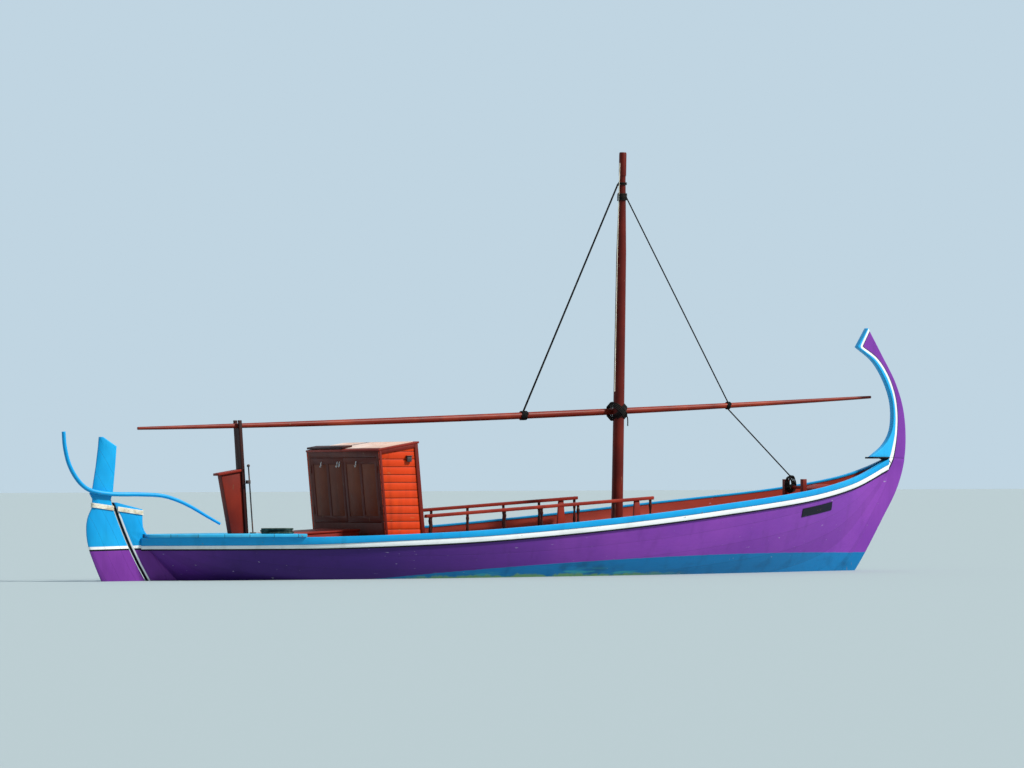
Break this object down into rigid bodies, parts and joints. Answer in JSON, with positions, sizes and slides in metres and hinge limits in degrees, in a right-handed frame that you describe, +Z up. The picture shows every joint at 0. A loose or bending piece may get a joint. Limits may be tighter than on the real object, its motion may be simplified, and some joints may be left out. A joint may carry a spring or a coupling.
{
  "type": "dhoni",
  "caption": "Wooden dhoni with a tall curved stem, short mast and stowed yard, small cabin with doors, railed hold, hung rudder with tiller, and a propeller.",
  "frame": {"origin": "on the centreline at the waterline, just abaft midships", "axes": "+X towards the stem, +Y to port, +Z up"},
  "size_m": [12.3799, 2.66, 6.1803],
  "materials": {
    "hull_paint": "purple gloss paint",
    "blue_paint": "light blue gloss paint",
    "white_paint": "white gloss paint",
    "red_paint": "red-brown paint",
    "orange_paint": "orange paint",
    "brown_paint": "dark brown paint",
    "bare_wood": "bare oiled wood",
    "plate": "dark blank plate",
    "dark_rope": "laid rope, nearly black",
    "pale_rope": "laid rope, cream",
    "iron": "dark iron",
    "bronze": "dull bronze",
    "engine_paint": "grey paint"
  },
  "bodies": {
    "hull": {"hull_planking": "hull_paint", "keel": "hull_paint", "stem": "hull_paint", "stern_post": "hull_paint", "frames_and_keelson": "bare_wood", "hold_floor": "bare_wood", "aft_deck": "red_paint", "side_deck": "red_paint", "fore_deck": "red_paint", "fore_bulkhead": "red_paint", "aft_bulkhead": "red_paint", "aft_platform": "blue_paint", "hold_coaming": "red_paint", "bow_shelf": "brown_paint", "gunwale_port": "blue_paint", "gunwale_starboard": "blue_paint", "white_strake_port": "white_paint", "white_strake_starboard": "white_paint", "number_plate_port": "plate", "number_plate_starboard": "plate", "rail_port": "brown_paint", "rail_starboard": "brown_paint", "cabin_side_port": "orange_paint", "cabin_side_starboard": "orange_paint", "cabin_front": "orange_paint", "cabin_door_frame": "brown_paint", "cabin_roof": "red_paint", "engine_box": "red_paint", "engine_bearers": "bare_wood", "engine": "engine_paint", "stern_tube": "bronze", "keel_heel_shoe": "iron", "stern_post_band": "pale_rope", "mast_thwart": "red_paint", "mast": "red_paint", "yard": "red_paint", "crutch": "red_paint", "seat_pedestal": "red_paint", "seat_board": "red_paint", "control_rod": "iron", "forestay": "dark_rope", "halyard": "dark_rope", "yard_lashing": "dark_rope", "bitts": "red_paint", "bitt_turns": "dark_rope", "fore_hatch": "red_paint", "rope_coil": "dark_rope"},
    "rudder": {"rudder_blade": "hull_paint", "rudder_heel_pintle": "iron", "rudder_band": "pale_rope", "tiller": "blue_paint"},
    "propeller": {"propeller": "bronze", "propeller_shaft": "bronze"},
    "door_port": {"cabin_door_port": "brown_paint"},
    "door_starboard": {"cabin_door_starboard": "brown_paint"},
    "engine_lid": {"engine_lid": "red_paint"}
  },
  "joints": [
    {"name": "rudder_turn", "type": "hinge", "parent": "hull", "child": "rudder", "pos_m": [-4.5, 0, -0.64], "axis": [-0.4842, 0, 0.8749], "range_deg": [-30, 30]},
    {"name": "propeller_spin", "type": "hinge", "parent": "hull", "child": "propeller", "pos_m": [-4.44, 0, -0.37915], "axis": [0.984, 0, 0.178], "continuous": true},
    {"name": "door_port_swing", "type": "hinge", "parent": "hull", "child": "door_port", "pos_m": [-2.15975, 0.8675, 1.095], "axis": [0.0896, 0, -0.996], "range_deg": [0, 100]},
    {"name": "door_starboard_swing", "type": "hinge", "parent": "hull", "child": "door_starboard", "pos_m": [-2.15975, -0.8675, 1.095], "axis": [-0.0896, 0, 0.996], "range_deg": [0, 100]},
    {"name": "engine_lid_swing", "type": "hinge", "parent": "hull", "child": "engine_lid", "pos_m": [-3.21, 0, 0.5409], "axis": [0, -1, 0], "range_deg": [0, 95]}
  ]
}
